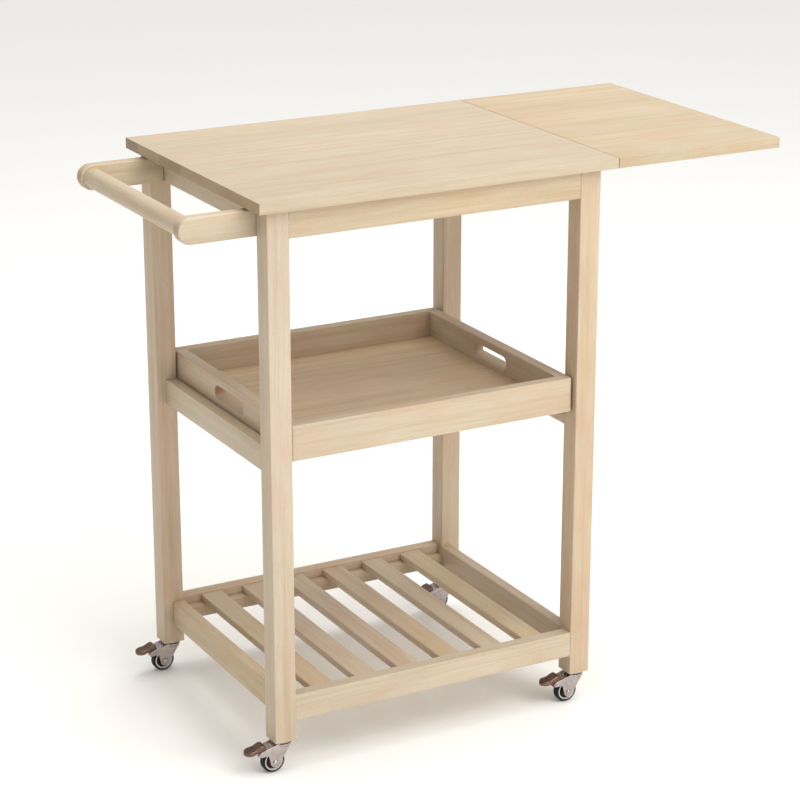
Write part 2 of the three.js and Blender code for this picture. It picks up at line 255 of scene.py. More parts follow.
# Planed and lacquered rubberwood: faint wandering rings and long fibres that
# follow the board, pinkish clouds, short pores and a darker end grain, under a
# satin gloss.
def makeWood(name, grain, centre, pith, tone, staveWidth, log):
    look = rubberwood
    material, tree, shader = startMaterial(name)
    turn = Euler(grainTurns[grain])
    place = Vector((0.731 * log, pith[0] * mm, pith[1] * mm)) - turn.to_matrix() @ Vector(centre)
    coordinates = addNode(tree, "ShaderNodeTexCoord")
    board = addNode(tree, "ShaderNodeMapping", {"Location": place, "Rotation": turn},
                    {"Vector": coordinates.outputs["Object"]})
    position = board.outputs["Vector"]
    staveTone = None
    if staveWidth:  # glued staves, each from another place in the log
        axes = addNode(tree, "ShaderNodeSeparateXYZ", links={0: position})
        strip = addNode(tree, "ShaderNodeMath", {1: staveWidth * mm}, {0: axes.outputs["Y"]},
                        operation="DIVIDE")
        number = addNode(tree, "ShaderNodeMath", links={0: strip.outputs[0]}, operation="FLOOR")
        random = addNode(tree, "ShaderNodeTexWhiteNoise", links={"W": number.outputs[0]},
                         noise_dimensions="1D")
        shift = addNode(tree, "ShaderNodeVectorMath", {1: (4.0, 0.25, 0.12)}, {0: random.outputs["Color"]},
                        operation="MULTIPLY")
        position = addNode(tree, "ShaderNodeVectorMath", links={0: position, 1: shift.outputs[0]},
                           operation="ADD").outputs[0]
        staveTone = random.outputs["Value"]

    pattern = {}
    for key, (length, width, detail) in look["patterns"].items():
        across = 1 / (width * mm)
        scaled = addNode(tree, "ShaderNodeVectorMath", {1: (1 / (length * mm), across, across)},
                         {0: position}, operation="MULTIPLY")
        pattern[key] = addNode(tree, "ShaderNodeTexNoise", {"Scale": 1.0, "Detail": detail, "Roughness": 0.6},
                               {"Vector": scaled.outputs[0]})

    stray = addNode(tree, "ShaderNodeVectorMath", {1: (0.5, 0.5, 0.5)},
                    {0: pattern["stray"].outputs["Color"]}, operation="SUBTRACT")
    reach = 2 * look["wander"] * mm
    spread = addNode(tree, "ShaderNodeVectorMath", {1: (0, reach, reach)}, {0: stray.outputs[0]},
                     operation="MULTIPLY")
    bent = addNode(tree, "ShaderNodeVectorMath", {1: (0, 1, 1)}, {0: position, 2: spread.outputs[0]},
                   operation="MULTIPLY_ADD")
    radius = addNode(tree, "ShaderNodeVectorMath", links={0: bent.outputs[0]}, operation="LENGTH")
    ring = addNode(tree, "ShaderNodeMath", {1: look["ringSpacing"] * mm}, {0: radius.outputs["Value"]},
                   operation="DIVIDE")
    phase = addNode(tree, "ShaderNodeMath", links={0: ring.outputs[0]}, operation="FRACT")
    ringTone = addNode(tree, "ShaderNodeValToRGB", links={"Fac": phase.outputs[0]},
                       stops=[(0.0, 0.3), (0.2, 0.0), (0.55, 0.2), (0.85, 1.0), (1.0, 0.3)])
    ringDepth = addNode(tree, "ShaderNodeMath", {1: look["ringContrast"]}, {0: ringTone.outputs["Color"]},
                        operation="MULTIPLY")
    figure = addNode(tree, "ShaderNodeMix", {mixA: colour(look["earlyWood"]), mixB: colour(look["lateWood"])},
                     {mixFactor: ringDepth.outputs[0]}, data_type="RGBA").outputs[mixOut]
    shares = {"streak": [(0.48, 0.0), (0.72, 0.5)], "blush": [(0.42, 0.0), (0.7, 0.6)],
              "pore": [(0.66, 0.0), (0.76, 0.45)]}
    for key, stops in shares.items():
        share = addNode(tree, "ShaderNodeValToRGB", links={"Fac": pattern[key].outputs["Fac"]}, stops=stops)
        figure = addNode(tree, "ShaderNodeMix", {mixB: colour(look[key])},
                         {mixFactor: share.outputs["Color"], mixA: figure}, data_type="RGBA").outputs[mixOut]
    fibreTone = addNode(tree, "ShaderNodeValToRGB", links={"Fac": pattern["fibre"].outputs["Fac"]},
                        stops=[(0.3, 0.92), (0.7, 1.0)])
    fibred = addNode(tree, "ShaderNodeMix", {mixFactor: 1.0},
                     {mixA: figure, mixB: fibreTone.outputs["Color"]},
                     data_type="RGBA", blend_type="MULTIPLY")
    facing = addNode(tree, "ShaderNodeSeparateXYZ", links={0: coordinates.outputs["Normal"]})
    along = addNode(tree, "ShaderNodeMath", links={0: facing.outputs[grain.upper()]}, operation="ABSOLUTE")
    endShare = addNode(tree, "ShaderNodeValToRGB", links={"Fac": along.outputs[0]},
                       stops=[(0.7, 0.0), (0.95, 0.75)])
    ended = addNode(tree, "ShaderNodeMix", {mixB: colour(look["endGrain"])},
                    {mixFactor: endShare.outputs["Color"], mixA: fibred.outputs[mixOut]}, data_type="RGBA")
    if staveTone:
        darkShare = addNode(tree, "ShaderNodeMath", links={0: endShare.outputs["Color"], 1: staveTone},
                            operation="MULTIPLY")
        ended = addNode(tree, "ShaderNodeMix", {mixB: colour(look["darkEnd"])},
                        {mixFactor: darkShare.outputs[0], mixA: ended.outputs[mixOut]}, data_type="RGBA")

    light = addNode(tree, "ShaderNodeMapRange", {"To Min": 0.92 * tone, "To Max": 1.07 * tone},
                    {"Value": pattern["cloud"].outputs["Fac"]})
    value = light.outputs[0]
    if staveTone:
        staveLight = addNode(tree, "ShaderNodeMapRange", {"To Min": 0.95, "To Max": 1.03},
                             {"Value": staveTone})
        value = addNode(tree, "ShaderNodeMath", links={0: value, 1: staveLight.outputs[0]},
                        operation="MULTIPLY").outputs[0]
    hue = 0.5 + look["hueSpread"] * math.sin(7.3 * log)
    saturation = 1.04 + look["saturationSpread"] * math.sin(3.7 * log)
    tinted = addNode(tree, "ShaderNodeHueSaturation", {"Hue": hue, "Saturation": saturation},
                     {"Color": ended.outputs[mixOut], "Value": value})
    tree.links.new(tinted.outputs["Color"], shader.inputs["Base Color"])
    gloss = addNode(tree, "ShaderNodeMapRange",
                    {"To Min": look["roughness"] - 0.05, "To Max": look["roughness"] + 0.10},
                    {"Value": pattern["fibre"].outputs["Fac"]})
    tree.links.new(gloss.outputs[0], shader.inputs["Roughness"])
    relief = addNode(tree, "ShaderNodeBump", {"Strength": 0.25, "Distance": 0.15 * mm},
                     {"Height": pattern["fibre"].outputs["Fac"]})
    tree.links.new(relief.outputs["Normal"], shader.inputs["Normal"])
    shader.inputs["IOR"].default_value = look["ior"]
    shader.inputs["Specular IOR Level"].default_value = look["specular"]
    shader.inputs["Coat Weight"].default_value = look["coat"]
    shader.inputs["Coat Roughness"].default_value = look["coatRoughness"]
    return material


woodCount = 0


def addWood(name, mesh, grain, body, tone=1.0, staveWidth=None):
    global woodCount
    woodCount += 1  # each board is sawn from another place in the log
    low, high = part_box(name)
    angle = 2.4 * woodCount
    distance = 30 + 9 * (woodCount % 7)
    pith = (distance * math.cos(angle), distance * math.sin(angle))
    shade = tone * (1 + 0.02 * math.sin(5.1 * woodCount))
    material = makeWood(f"lacqueredRubberwood.{name}", grain, (low + high) / 2, pith, shade, staveWidth,
                        woodCount)
    addPiece(f"{name}.wood", mesh, material, body, (name,))


# A board with rounded long edges and tighter ends, in the place of its node
def boardMesh(name, grain, longEase, endEase, outerSide=0, outerEase=0.0):
    low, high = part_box(name)
    axis = "xyz".index(grain)
    bm = bmesh.new()
    bmesh.ops.create_cube(bm, size=1)
    bm.transform(Matrix.Translation((low + high) / 2) @ Matrix.Diagonal((*(high - low), 1)))

    def runsAlong(edge):
        return abs((edge.verts[0].co - edge.verts[1].co)[axis]) > 1e-5

    def atEnd(edge):
        return all(min(abs(v.co[axis] - low[axis]), abs(v.co[axis] - high[axis])) < 1e-6 for v in edge.verts)

    def atOuterCorner(edge):
        middle = (edge.verts[0].co + edge.verts[1].co) / 2
        upright = abs(edge.verts[0].co.z - edge.verts[1].co.z) > 1e-5
        return upright and outerSide * (middle.y - (low.y + high.y) / 2) > 1e-5

    if outerEase:
        easeEdges(bm, atOuterCorner, outerEase, 6)
    easeEdges(bm, runsAlong, longEase, 4)
    easeEdges(bm, atEnd, endEase, 3)
    return finishMesh(bm, name)


panels = {"worktop": "frame", "drop_leaf": "leaf"}
panelLook = {"ease": 0.9, "staveWidth": 78}
for name, body in panels.items():
    mesh = boardMesh(name, "x", panelLook["ease"], panelLook["ease"])
    addWood(name, mesh, "x", body, staveWidth=panelLook["staveWidth"])

# Legs, bored for the caster stems
leg = {"ease": 1.8, "footEase": 1.8, "bore": 11.6, "boreStart": -5, "boreDepth": 38}
for corner in corners:
    name = f"{corner}_leg"
    low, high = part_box(name)
    radius = leg["bore"] / 2
    bore = turnedMesh([(0, leg["boreStart"]), (radius, leg["boreStart"]), (radius, leg["boreDepth"]),
                       (0, leg["boreDepth"])], steps=32)
    middle = (low + high) / 2 / mm
    bore = moved(bore, middle.x, middle.y, low.z / mm)
    post = boardMesh(name, "z", leg["ease"], leg["footEase"])
    addWood(name, combine("DIFFERENCE", post, bore), "z", "frame")

# Rails, and the cleats screwed inside them
rail = {"longEase": 1.4, "endEase": 0.35}
cleat = {"longEase": 0.8, "endEase": 0.35, "tone": 0.96}
for side in ("front", "back"):
    for part in ("apron", "lower_rail"):
        name = f"{side}_{part}"
        addWood(name, boardMesh(name, "x", rail["longEase"], rail["endEase"]), "x", "frame")
    name = f"{side}_slat_cleat"
    mesh = boardMesh(name, "x", cleat["longEase"], cleat["endEase"])
    addWood(name, mesh, "x", "frame", cleat["tone"])
for side in ("left", "right"):
    for part in ("apron", "lower_rail", "tray_rail"):
        name = f"{side}_{part}"
        addWood(name, boardMesh(name, "y", rail["longEase"], rail["endEase"]), "y", "frame")
    name = f"{side}_tray_cleat"
    mesh = boardMesh(name, "y", cleat["longEase"], cleat["endEase"])
    addWood(name, mesh, "y", "frame", cleat["tone"])
slat = {"longEase": 2.0, "endEase": 0.5}
for number in range(1, 7):
    name = f"shelf_slat_{number}"
    addWood(name, boardMesh(name, "y", slat["longEase"], slat["endEase"]), "y", "frame")
print("frame boards:", woodCount)

# Tray: rounded front and back boards, and end boards with a round-ended finger slot
trayLook = {"ease": 2.2, "endEase": 1.2, "cornerEase": 3.5, "floorEase": 0.2, "floorPaintedLightTone": 1.14,
            "floorStave": 90}
fingerSlot = {"length": 100, "height": 22, "rise": 30, "ease": 2.2}
for side, outward in (("front", -1), ("back", 1)):
    name = f"tray_{side}"
    mesh = boardMesh(name, "x", trayLook["ease"], trayLook["endEase"], outward, trayLook["cornerEase"])
    addWood(name, mesh, "x", "tray")
for side in ("left", "right"):
    name = f"tray_{side}_end"
    low, high = (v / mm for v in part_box(name))
    radius = fingerSlot["height"] / 2
    half = fingerSlot["length"] / 2 - radius
    z = low.z + fingerSlot["rise"]
    board = [(low.y, low.z), (high.y, low.z), (high.y, high.z), (low.y, high.z)]
    slot = arc((half, z), radius, -90, 90, 20) + arc((-half, z), radius, 90, 270, 20)
    mesh = plateMesh([board, slot], high.x - low.x, fingerSlot["ease"], "yz", 4)
    addWood(name, moved(mesh, (low.x + high.x) / 2), "y", "tray")
# The tray floor's tone is set above 1.0 as painted light: the floor is made lighter to stand in for light
# falling into the tray
floorPanel = boardMesh("tray_floor", "x", trayLook["floorEase"], trayLook["floorEase"])
addWood("tray_floor", floorPanel, "x", "tray", trayLook["floorPaintedLightTone"], trayLook["floorStave"])

# Handle: arms with half-round ends and a turned bar between them
handle = {"armEase": 2.4, "barEase": 1.0}
for side in ("front", "back"):
    name = f"{side}_handle_arm"
    low, high = (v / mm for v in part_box(name))
    radius = (high.z - low.z) / 2
    outline = [(high.x, low.z), (high.x, high.z)]
    outline += arc((low.x + radius, low.z + radius), radius, 90, 270, 40)
    mesh = plateMesh([outline], high.y - low.y, handle["armEase"], "xz", 4)
    addWood(name, moved(mesh, y=(low.y + high.y) / 2), "x", "frame")
low, high = (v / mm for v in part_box("towel_bar"))
radius = (high.z - low.z) / 2
half = (high.y - low.y) / 2
ease = handle["barEase"]
profile = [(0, -half), (radius - ease, -half), (radius, ease - half), (radius, half - ease),
           (radius - ease, half), (0, half)]
bar = turnedMesh(profile, "y", steps=96)
addWood("towel_bar", moved(bar, (low.x + high.x) / 2, 0, (low.z + high.z) / 2), "y", "frame")
print("wood pieces:", woodCount)

# Metal, rubber and plastic

finishes = {
    # Zinc-plated and polished pressed steel: bright, with soft clouds of a darker, shaded copy of its colour
    # (painted shade) and fine scratches
    "platedSteel": {"base": "#B9B0AE", "low": "#8F8583", "roughness": 0.18, "metallic": 1.0, "grit": 0.6},
    # Bronzed pressed steel: brown and slightly satin, lighter where it is handled
    "bronzedSteel": {"base": "#7B6456", "low": "#54443B", "roughness": 0.28, "metallic": 1.0, "grit": 1.5},
    # Moulded rubber tyre: near black and dull, with a scuffed tread
    "mouldedRubber": {"base": "#1F1A1B", "low": "#141112", "roughness": 0.55, "metallic": 0.0, "grit": 1.0,
                      "specular": 0.25},
    # Moulded nylon wheel rim: off-white with a soft shine
    "mouldedNylon": {"base": "#E6DCDD", "low": "#CFC4C6", "roughness": 0.35, "metallic": 0.0, "grit": 2.0},
    # Blackened steel core and pins: dark with a low shine
    "blackenedSteel": {"base": "#3A302C", "low": "#211B19", "roughness": 0.38, "metallic": 1.0, "grit": 1.0},
}


def makeFinish(name):
    look = finishes[name]
    material, tree, shader = startMaterial(name)
    coordinates = addNode(tree, "ShaderNodeTexCoord")
    cloud = addNode(tree, "ShaderNodeTexNoise", {"Scale": 1 / (12 * mm), "Detail": 3.0},
                    {"Vector": coordinates.outputs["Object"]})
    grit = addNode(tree, "ShaderNodeTexNoise", {"Scale": 1 / (look["grit"] * mm), "Detail": 4.0},
                   {"Vector": coordinates.outputs["Object"]})
    # Soft clouds of the low tone; in the plated steel the low tone is a shaded copy of the base colour, so
    # there these clouds are painted shade
    share = addNode(tree, "ShaderNodeValToRGB", links={"Fac": cloud.outputs["Fac"]},
                    stops=[(0.35, 0.0), (0.75, 0.6)])
    tint = addNode(tree, "ShaderNodeMix", {mixA: colour(look["base"]), mixB: colour(look["low"])},
                   {mixFactor: share.outputs["Color"]}, data_type="RGBA")
    tree.links.new(tint.outputs[mixOut], shader.inputs["Base Color"])
    gloss = addNode(tree, "ShaderNodeMapRange",
                    {"To Min": look["roughness"] - 0.06, "To Max": look["roughness"] + 0.1},
                    {"Value": grit.outputs["Fac"]})
    tree.links.new(gloss.outputs[0], shader.inputs["Roughness"])
    relief = addNode(tree, "ShaderNodeBump", {"Strength": 0.15, "Distance": 0.05 * mm},
                     {"Height": grit.outputs["Fac"]})
    tree.links.new(relief.outputs["Normal"], shader.inputs["Normal"])
    shader.inputs["Metallic"].default_value = look["metallic"]
    shader.inputs["Specular IOR Level"].default_value = look.get("specular", 0.5)
    return material


metal = {name: makeFinish(name) for name in finishes}

# Casters, drawn about the swivel axis with the wheel trailing to -X

plate = {"radius": 16, "top": 50, "rimBottom": 48, "bottom": 47, "boss": 11, "stemRadius": 5.5, "stemTop": 84}
fork = {
    "top": 46.7, "sheet": 2.0, "cheek": 10.5, "front": 10.3, "shoulder": -9,
    "cup": [(0, 9.0), (9.0, 9.0), (10.4, 8.6), (11.6, 7.4), (12.6, 5.6), (13.6, 4.2), (14.5, 3.2),
            (14.9, 2.3), (14.7, 1.4), (13.9, 0.9), (11.4, 0.8), (10.8, 0.6), (10.5, 0),
            (0, 0)],  # radius, drop below the top
    "horn": (-36.5, 34.5), "hornRadius": 4.0, "throat": (-25.5, 29.5), "axle": (-15, 18), "boss": 7.5,
    "crownBack": (-28.2, 41.1),
}
wheel = {"radius": 18, "half": 6, "shoulder": 3, "rimOuter": 14.3, "rimInner": 12.6, "web": 3.0, "hub": 5.6}


def casterPlate():
    p = plate
    rim = p["radius"] - 0.9
    return turnedMesh([
        (0, p["stemTop"]), (p["stemRadius"] - 1.2, p["stemTop"]), (p["stemRadius"], p["stemTop"] - 1.5),
        (p["stemRadius"], p["top"]), (rim, p["top"]), (p["radius"] - 0.2, p["top"] - 0.3),
        (p["radius"], p["top"] - 1.0), (p["radius"] - 0.2, p["top"] - 1.7), (rim, p["rimBottom"]),
        (p["boss"] + 0.6, p["rimBottom"]), (p["boss"], p["rimBottom"] - 0.2), (p["boss"] - 0.4, p["bottom"]),
        (0, p["bottom"])])


def casterFork():
    f = fork
    cheek = [(f["front"], f["top"] - 3.6), (f["front"] - 0.2, f["top"] - 2.6), (2, f["top"] - 1.2),
             (-3, f["top"] - 0.7), (f["shoulder"], f["top"])]
    cheek += arc(f["horn"], f["hornRadius"], 105, 265, 14)
    cheek += arc((f["throat"][0] - 2.5, f["throat"][1] - 2.2), 3.2, 80, 15, 6)
    cheek += arc(f["axle"], f["boss"], 190, 335, 18)
    side = plateMesh([cheek], f["sheet"], 0.45)
    backX, backZ = f["crownBack"]
    crown = [(backX, backZ), (f["shoulder"], f["top"]), (0, f["top"]), (0, f["top"] - f["sheet"]),
             (f["shoulder"], f["top"] - f["sheet"]), (backX, backZ - f["sheet"])]
    roof = plateMesh([crown], 2 * f["cheek"], 0)
    cup = turnedMesh([(r, f["top"] - drop) for r, drop in f["cup"]])
    return combine("UNION", roof, moved(side, y=-f["cheek"]), moved(side, y=f["cheek"]), cup)


# A small pressed rivet on the sloping back of the crown
dimple = {"radius": 2.6, "height": 1.1, "root": -1.5}


def crownDimple():
    f = fork
    radius, height = dimple["radius"], dimple["height"]
    backX, backZ = f["crownBack"]
    slope = math.atan2(f["top"] - backZ, f["shoulder"] - backX)
    cap = [(radius * math.cos(math.radians(a)), height * math.sin(math.radians(a)))
           for a in range(0, 90, 15)]
    mesh = turnedMesh([(0, dimple["root"]), (radius, dimple["root"])] + cap + [(0, height)])
    mesh.transform(Matrix.Rotation(-slope, 4, "Y"))
    return moved(mesh, (backX + f["shoulder"]) / 2, 0, (backZ + f["top"]) / 2)


def casterTyre():
    w = wheel
    profile = [(w["rimOuter"] - 0.4, -w["half"] + 0.6), (w["radius"] - w["shoulder"], -w["half"])]
    for step in range(1, 6):
        angle = math.radians(18 * step)
        profile.append((w["radius"] - w["shoulder"] * (1 - math.sin(angle)),
                        -w["half"] + w["shoulder"] * (1 - math.cos(angle))))
    groove = w["radius"] - 0.35  # a shallow groove round the tread
    profile += [(w["radius"], -0.9), (groove, -0.5), (groove, 0.5), (w["radius"], 0.9)]
    profile += [(r, -h) for r, h in reversed(profile[:-4])]
    return turnedMesh(profile, "y", closed=True, steps=64)


def casterRim():
    w = wheel
    edge = w["half"] + 0.2
    half = [(w["rimOuter"], -edge + 0.7), (w["rimOuter"] - 0.6, -edge), (w["rimInner"] + 0.4, -edge),
            (w["rimInner"], -edge + 0.6), (w["rimInner"] - 0.3, -w["web"] - 0.6)]
    profile = half + [(r, -h) for r, h in reversed(half)]
    return turnedMesh(profile, "y", closed=True, steps=64)


def casterCore():
    w = wheel
    half = [(w["rimInner"] + 0.1, -w["web"]), (w["hub"] + 1.4, -w["web"]), (w["hub"], -w["web"] - 1.2),
            (w["hub"], -w["half"] - 0.8), (3.0, -w["half"] - 0.8)]
    profile = half + [(r, -h) for r, h in reversed(half)]
    return turnedMesh(profile, "y", closed=True, steps=48)


# Head radius, head height, flange radius and half the length between the flanges
rivets = {"axle": (4.4, 2.0, 4.8, 11.5), "pivot": (2.2, 1.0, 2.6, 11.5), "lever": (2.0, 0.3, 2.1, 11.3)}


def rivetMesh(radius, height, flange, reach):
    head = [(radius * math.cos(math.radians(a)), reach + 0.6 + height * math.sin(math.radians(a)))
            for a in range(0, 90, 15)]
    side = [(2.4, 0), (2.4, reach), (flange, reach), (flange, reach + 0.6)]
    side += head + [(0, reach + 0.6 + height)]
    profile = [(r, -h) for r, h in reversed(side)] + side[1:]
    return turnedMesh(profile, "y")


# The pedal's sheet: an arched cover that runs out into a round tread, with turned-down sides
pedal = {
    "top": [(-28.7, 41.8, 38.6), (-28.8, 44.4, 38.6), (-29.4, 46.4, 38.6), (-30.9, 47.6, 38.6),
            (-33.0, 47.8, 38.6), (-35.5, 47.3, 38.6), (-38.5, 46.0, 38.6), (-41.5, 44.5, 38.4),
            (-44.0, 43.3, 37.6), (-46.5, 42.6, 36.6), (-49.5, 42.2, 35.8), (-52.5, 42.0, 35.4),
            (-55.0, 41.7, 35.3), (-57.0, 41.3, 35.3), (-58.4, 40.8, 35.3), (-59.3, 40.2, 35.3),
            (-59.9, 39.2, 35.3), (-60.15, 37.9, 35.3), (-60.2, 36.9, 35.3)],  # x, top, foot
    "half": 9.2, "treadStart": -43.0, "treadHalf": 10.2, "treadCentre": -50.0, "bend": 1.8, "sheet": 0.9,
}


def pedalCover():
    p = pedal
    bm = bmesh.new()
    rows = []
    for x, z, foot in p["top"]:
        widening = min(1.0, max(0.0, (p["treadStart"] - x) / 5))
        half = p["half"] + (p["treadHalf"] - p["half"]) * widening
        if x < p["treadCentre"]:
            half = math.sqrt(max(p["treadHalf"] ** 2 - (x - p["treadCentre"]) ** 2, 1.0))
        bend = min(p["bend"], half / 2)
        side = [(half, foot), (half, max(z - bend, foot + 0.4))]
        side += [(half - bend + bend * math.cos(a), z - bend + bend * math.sin(a))
                 for a in (math.radians(30), math.radians(60), math.radians(90))]
        section = side + [(half / 3, z + 0.25), (-half / 3, z + 0.25)] + [(-y, h) for y, h in reversed(side)]
        rows.append([bm.verts.new((x * mm, y * mm, h * mm)) for y, h in section])
    for a, b in zip(rows, rows[1:]):
        for i in range(len(a) - 1):
            bm.faces.new((a[i], a[i + 1], b[i + 1], b[i]))
    bmesh.ops.recalc_face_normals(bm, faces=bm.faces)
    mesh = bpy.data.meshes.new("cover")
    bm.to_mesh(mesh)
    bm.free()
    holder = bpy.data.objects.new("cover", mesh)
    scene.collection.objects.link(holder)
    shell = holder.modifiers.new("sheet", "SOLIDIFY")
    shell.thickness = p["sheet"] * mm
    shell.offset = -1
    result = bpy.data.meshes.new_from_object(holder.evaluated_get(bpy.context.evaluated_depsgraph_get()))
    bpy.data.objects.remove(holder)
    bm = bmesh.new()
    bm.from_mesh(result)
    return finishMesh(bm, "cover", 65)


# Ears, pivot sleeve and brake shoe under the cover
pedalFrameLook = {"earRadius": 3.6, "earSheet": 1.4, "earReach": 7.2, "earEase": 0.3, "shoeWidth": 11,
                  "shoeEase": 0.7, "sleeveRadius": 3.4, "sleeveEnd": 3.0, "sleeveHalf": 8.9,
                  "sleeveShoulder": 8.5, "bore": 2.55, "boreHalf": 10}


def pedalFrame():
    v = pedalFrameLook
    x, z = fork["horn"]
    ear = arc((x, z), v["earRadius"], 180, 360, 12) + [(x + 6.0, z + 11.5), (x - 4.5, z + 11.0)]
    side = plateMesh([ear], v["earSheet"], v["earEase"])
    half, shoulder = v["sleeveHalf"], v["sleeveShoulder"]
    sleeve = turnedMesh([(0, -half), (v["sleeveEnd"], -half), (v["sleeveRadius"], -shoulder),
                         (v["sleeveRadius"], shoulder), (v["sleeveEnd"], half), (0, half)], "y")
    outline = [(x - 2, z + 1), (x - 1.5, z - 6), (x + 1.5, z - 8), (x + 4.8, z - 6.4), (x + 2.6, z + 1)]
    shoe = plateMesh([outline], v["shoeWidth"], v["shoeEase"])
    end = v["boreHalf"]
    bore = turnedMesh([(0, -end), (v["bore"], -end), (v["bore"], end), (0, end)], "y", steps=32)
    solid = combine("UNION", moved(sleeve, x, 0, z), moved(side, y=-v["earReach"]),
                    moved(side, y=v["earReach"]), shoe)
    return combine("DIFFERENCE", solid, moved(bore, x, 0, z))


axleX, axleZ = fork["axle"]
hornX, hornZ = fork["horn"]
casterPieces = {
    "plate": (casterPlate(), "platedSteel", "frame", ("caster_plate",)),
    "fork": (casterFork(), "platedSteel", "swivel", ("caster_fork",)),
    "tyre": (moved(casterTyre(), axleX, 0, axleZ), "mouldedRubber", "wheel", ("caster_wheel",)),
    "rim": (moved(casterRim(), axleX, 0, axleZ), "mouldedNylon", "wheel", ()),
    "core": (moved(casterCore(), axleX, 0, axleZ), "blackenedSteel", "wheel", ()),
    "axle": (moved(rivetMesh(*rivets["axle"]), axleX, 0, axleZ), "platedSteel", "swivel",
             ("caster_axle",)),
    "pivot": (moved(rivetMesh(*rivets["pivot"]), hornX, 0, hornZ), "platedSteel", "swivel", ()),
    "dimple": (crownDimple(), "platedSteel", "swivel", ()),
    "pedal": (pedalCover(), "bronzedSteel", "brake", ("brake_pedal",)),
    "pedalFrame": (pedalFrame(), "bronzedSteel", "brake", ()),
}
for corner in corners:
    low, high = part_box(f"{corner}_caster_plate")
    middle = (low + high) / 2 / mm
    for part, (mesh, finish, body, replaced) in casterPieces.items():
        bodyName = body if body == "frame" else f"{corner}_{body}"
        addPiece(f"{corner}_caster.{part}", moved(mesh, middle.x, middle.y), metal[finish], bodyName,
                 [f"{corner}_{node}" for node in replaced])
print("casters:", 4 * len(casterPieces), "pieces")

# Drop-leaf brackets, drawn about the hinge pin under the seam

bracket = {
    "half": 12, "plateTop": 4, "plateBottom": 1, "knuckle": 4, "knuckleHalf": 5, "earInner": 5.3, "pin": 1.7,
    "back": -34, "front": -5, "armStart": 5, "armEnd": 118, "corner": 4.5,
    "webStart": 24, "webEnd": 108, "webLow": -8, "webThickness": 1.5,
    "screwHead": 2.9, "recess": 3.1,
}
leverLook = {"nose": 11, "top": -3, "bend": 78, "tip": 92, "drop": 5, "pivot": (40, -5.5), "pivotRadius": 3.5,
             "width": 8}


def screwHole(x, y):
    b = bracket
    hole = turnedMesh([(0, b["plateBottom"] - 0.1), (b["recess"], b["plateBottom"] - 0.1),
                       (b["recess"] - 1.5, b["plateBottom"] + 1.6), (b["recess"] - 1.5, b["plateTop"] + 0.2),
                       (0, b["plateTop"] + 0.2)], steps=32)
    return moved(hole, x, y)


# A countersunk screw with a cross in its flat head, which faces down
def screwMesh(x, y):
    b = bracket
    low = b["plateBottom"] + 0.15
    body = turnedMesh([(0, low), (b["screwHead"] - 0.3, low), (b["screwHead"], low + 0.25), (1.5, low + 1.5),
                       (1.5, b["plateTop"] + 5), (0, b["plateTop"] + 6)], steps=32)
    arms = [boxMesh((-1.7, -0.35, low - 1), (1.7, 0.35, low + 0.9)),
            boxMesh((-0.35, -1.7, low - 1), (0.35, 1.7, low + 0.9))]
    return moved(combine("DIFFERENCE", body, *arms), x, y)


def knuckleMesh(low, high):
    radius, edge = bracket["knuckle"], 0.4
    return turnedMesh([(0, low), (radius - edge, low), (radius, low + edge), (radius, high - edge),
                       (radius - edge, high), (0, high)], "y", steps=40)


def leafPlate(screws):
    b = bracket
    corner = b["corner"]
    outline = arc((b["back"] + corner, -b["half"] + corner), corner, 180, 270, 6)
    outline += [(b["front"], -b["half"]), (b["front"], b["half"])]
    outline += arc((b["back"] + corner, b["half"] - corner), corner, 90, 180, 6)
    thick = b["plateTop"] - b["plateBottom"]
    flat = moved(plateMesh([outline], thick, 0.4, "xy"), z=(b["plateTop"] + b["plateBottom"]) / 2)
    neck = boxMesh((b["front"] - 2, -b["knuckleHalf"], b["plateBottom"]),
                   (0, b["knuckleHalf"], b["plateTop"]), 0.3)
    stop = boxMesh((-13, -b["knuckleHalf"], -6), (-5.5, b["knuckleHalf"], 3), 0.6)
    solid = combine("UNION", flat, neck, stop, knuckleMesh(-b["knuckleHalf"], b["knuckleHalf"]))
    return combine("DIFFERENCE", solid, *[screwHole(x, y) for x, y in screws])


def leafArm(screws):
    b = bracket
    corner = b["corner"]
    outline = [(b["armStart"], -b["half"])]
    outline += arc((b["armEnd"] - corner, -b["half"] + corner), corner, -90, 0, 6)
    outline += arc((b["armEnd"] - corner, b["half"] - corner), corner, 0, 90, 6)
    outline += [(b["armStart"], b["half"])]
    thick = b["plateTop"] - b["plateBottom"]
    solids = [moved(plateMesh([outline], thick, 0.4, "xy"), z=(b["plateTop"] + b["plateBottom"]) / 2)]
    web = [(b["webStart"], 2), (b["webStart"] + 9, b["webLow"] + 1), (b["webStart"] + 12, b["webLow"]),
           (b["webEnd"] - 14, b["webLow"]), (b["webEnd"] - 11, b["webLow"] + 1), (b["webEnd"], 2)]
    for side in (-1, 1):
        near, far = sorted((side * b["earInner"], side * b["half"]))
        solids.append(boxMesh((0, near, b["plateBottom"]), (b["armStart"] + 2, far, b["plateTop"]), 0.3))
        solids.append(knuckleMesh(near, far))
        webMiddle = side * (b["half"] - b["webThickness"] / 2)
        solids.append(moved(plateMesh([web], b["webThickness"], 0.3), y=webMiddle))
    return combine("DIFFERENCE", combine("UNION", *solids), *[screwHole(x, y) for x, y in screws])


def lockLever():
    v = leverLook
    x, z = v["pivot"]
    outline = [(v["nose"], v["top"]), (v["bend"], v["top"]), (v["tip"], v["top"] - v["drop"]),
               (v["tip"] - 1.5, v["top"] - v["drop"] - 2.5), (v["bend"] - 2, v["top"] - 2.5),
               (x + v["pivotRadius"], v["top"] - 2.5)]
    outline += arc(v["pivot"], v["pivotRadius"], 0, -180, 14) + [(v["nose"], v["top"] - 2.6)]
    return plateMesh([outline], v["width"], 0.7)


